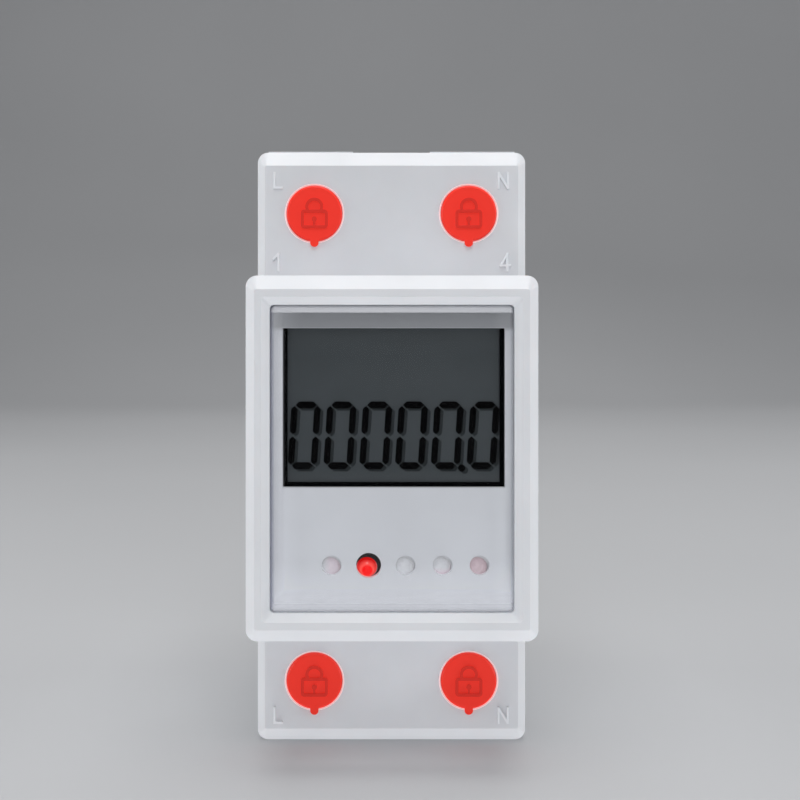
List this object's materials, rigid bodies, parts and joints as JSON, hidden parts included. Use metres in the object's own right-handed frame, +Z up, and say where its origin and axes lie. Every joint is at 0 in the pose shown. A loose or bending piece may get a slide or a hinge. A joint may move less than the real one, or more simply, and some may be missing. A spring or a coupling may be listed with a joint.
{
  "type": "prepaid electricity meter",
  "caption": "Narrow rail-mounted electricity meter with a raised windowed nose, a digit display, indicator lamps, red seal caps and screw terminals.",
  "frame": {"origin": "on the rail's centre line, in the plane where the rail's front face touches the back, midway across the width", "axes": "+X right seen from the front, +Y back into the wall, +Z up; the display faces -Y"},
  "size_m": [0.036, 0.067, 0.0792],
  "materials": {
    "case_plastic": "fine satin, light cool grey-white",
    "clear_window": "clear, polished",
    "panel_plastic": "smooth satin, cool white",
    "zinc_steel": "zinc plated",
    "natural_plastic": "natural white moulding",
    "clip_plastic": "satin dark grey",
    "spring_steel": "bright drawn wire",
    "black_gasket": "dull black",
    "lcd": "dark unlit display glass",
    "diffuser": "milky",
    "zebra": "dull",
    "board": "solder mask green",
    "red_lamp": "tinted clear",
    "clear_lamp": "water clear",
    "tin": "tinned",
    "chip": "dull black",
    "ferrite": "dull dark grey",
    "winding": "amber tape over wire",
    "yellow_film": "moulded yellow box",
    "sleeve": "shrink sleeve",
    "blue_lacquer": "dipped lacquer",
    "tinned_copper": "tin plated copper",
    "manganin": "brownish resistance alloy",
    "copper": "bare copper",
    "relay_shell": "glass-filled black",
    "soft_iron": "nickel-flashed iron",
    "coil_wire": "enamelled copper wire",
    "contact_silver": "silver alloy",
    "magnet": "nickel plated",
    "wire_cover": "soft insulation",
    "red_seal": "soft satin red"
  },
  "bodies": {
    "meter": {"base_housing": "case_plastic", "front_cover": "case_plastic", "display_window": "clear_window", "face_panel": "panel_plastic", "case_screws": "zinc_steel", "terminal_retainers": "natural_plastic", "din_clip_spring": "spring_steel", "lcd_gasket": "black_gasket", "lcd_glass": "lcd", "lcd_backlight": "diffuser", "lcd_carrier": "natural_plastic", "zebra_strip": "zebra", "display_pcb": "board", "pulse_led": "red_lamp", "indicator_leds": "clear_lamp", "main_pcb": "board", "board_spacers": "natural_plastic", "board_header": "tin", "board_socket": "chip", "transformer_core": "ferrite", "transformer_coil": "winding", "x2_capacitor": "yellow_film", "filter_capacitors": "sleeve", "varistor": "blue_lacquer", "battery_holder": "chip", "clock_battery": "tin", "metering_chip": "chip", "controller_chip": "chip", "crystal": "tin", "line_in_bar": "tinned_copper", "current_shunt": "manganin", "relay_link_bar": "copper", "line_out_bar": "tinned_copper", "neutral_bar": "tinned_copper", "relay_case": "relay_shell", "relay_cover": "relay_shell", "relay_yoke": "soft_iron", "relay_bobbin": "natural_plastic", "relay_coil": "coil_wire", "fixed_contact": "contact_silver", "sense_wires": "wire_cover", "coil_wires": "wire_cover"},
    "rail_clip": {"din_clip": "clip_plastic"},
    "relay_rocker": {"relay_armature": "soft_iron", "armature_magnet": "magnet"},
    "relay_card": {"push_card": "natural_plastic"},
    "relay_blade": {"contact_blade": "copper"},
    "screw_1": {"terminal_screw_1": "zinc_steel"},
    "clamp_1": {"clamp_cage_1": "zinc_steel"},
    "cap_1": {"seal_cap_1": "red_seal"},
    "screw_2": {"terminal_screw_2": "zinc_steel"},
    "clamp_2": {"clamp_cage_2": "zinc_steel"},
    "cap_2": {"seal_cap_2": "red_seal"},
    "screw_3": {"terminal_screw_3": "zinc_steel"},
    "clamp_3": {"clamp_cage_3": "zinc_steel"},
    "cap_3": {"seal_cap_3": "red_seal"},
    "screw_4": {"terminal_screw_4": "zinc_steel"},
    "clamp_4": {"clamp_cage_4": "zinc_steel"},
    "cap_4": {"seal_cap_4": "red_seal"}
  },
  "joints": [
    {"name": "rail_clip_slide", "type": "slide", "parent": "meter", "child": "rail_clip", "axis": [0, 0, -1], "range_m": [0, 0.003], "stiffness_N_per_m": 400, "springref_m": -0.004, "deforming": ["din_clip_spring"]},
    {"name": "relay_rocker_swing", "type": "hinge", "parent": "meter", "child": "relay_rocker", "pos_m": [-0.0056, -0.01, 0], "axis": [0, 1, 0], "range_deg": [0, 8], "stiffness_Nm_per_rad": 0.002, "springref_deg": -11.46},
    {"name": "relay_card_slide", "type": "slide", "parent": "meter", "child": "relay_card", "axis": [1, 0, 0], "range_m": [0, 0.00145]},
    {"name": "relay_blade_flex", "type": "hinge", "parent": "meter", "child": "relay_blade", "pos_m": [-0.01175, -0.01, -0.0125], "axis": [0, 1, 0], "range_deg": [0, 3.6]},
    {"name": "terminal_1_turn", "type": "hinge", "parent": "meter", "child": "screw_1", "pos_m": [-0.0103, -0.0373, 0.0312], "axis": [0, 1, 0], "range_deg": [0, 2340]},
    {"name": "clamp_1_lift", "type": "slide", "parent": "meter", "child": "clamp_1", "axis": [0, -1, 0], "range_m": [0, 0.0052]},
    {"name": "cap_1_pull", "type": "slide", "parent": "meter", "child": "cap_1", "axis": [0, -1, 0], "range_m": [0, 0.012]},
    {"name": "terminal_2_turn", "type": "hinge", "parent": "meter", "child": "screw_2", "pos_m": [0.0103, -0.0373, 0.0312], "axis": [0, 1, 0], "range_deg": [0, 2340]},
    {"name": "clamp_2_lift", "type": "slide", "parent": "meter", "child": "clamp_2", "axis": [0, -1, 0], "range_m": [0, 0.0052]},
    {"name": "cap_2_pull", "type": "slide", "parent": "meter", "child": "cap_2", "axis": [0, -1, 0], "range_m": [0, 0.012]},
    {"name": "terminal_3_turn", "type": "hinge", "parent": "meter", "child": "screw_3", "pos_m": [-0.0103, -0.0373, -0.0312], "axis": [0, 1, 0], "range_deg": [0, 2340]},
    {"name": "clamp_3_lift", "type": "slide", "parent": "meter", "child": "clamp_3", "axis": [0, -1, 0], "range_m": [0, 0.0052]},
    {"name": "cap_3_pull", "type": "slide", "parent": "meter", "child": "cap_3", "axis": [0, -1, 0], "range_m": [0, 0.012]},
    {"name": "terminal_4_turn", "type": "hinge", "parent": "meter", "child": "screw_4", "pos_m": [0.0103, -0.0373, -0.0312], "axis": [0, 1, 0], "range_deg": [0, 2340]},
    {"name": "clamp_4_lift", "type": "slide", "parent": "meter", "child": "clamp_4", "axis": [0, -1, 0], "range_m": [0, 0.0052]},
    {"name": "cap_4_pull", "type": "slide", "parent": "meter", "child": "cap_4", "axis": [0, -1, 0], "range_m": [0, 0.012]}
  ],
  "couplings": [
    {"joint": "relay_card_slide", "follows": "relay_rocker_swing", "m_per_rad": 0.0102},
    {"joint": "relay_blade_flex", "follows": "relay_rocker_swing", "ratio": 0.434},
    {"joint": "terminal_1_turn", "follows": "clamp_1_lift", "rad_per_m": 7854},
    {"joint": "terminal_2_turn", "follows": "clamp_2_lift", "rad_per_m": 7854},
    {"joint": "terminal_3_turn", "follows": "clamp_3_lift", "rad_per_m": 7854},
    {"joint": "terminal_4_turn", "follows": "clamp_4_lift", "rad_per_m": 7854}
  ]
}
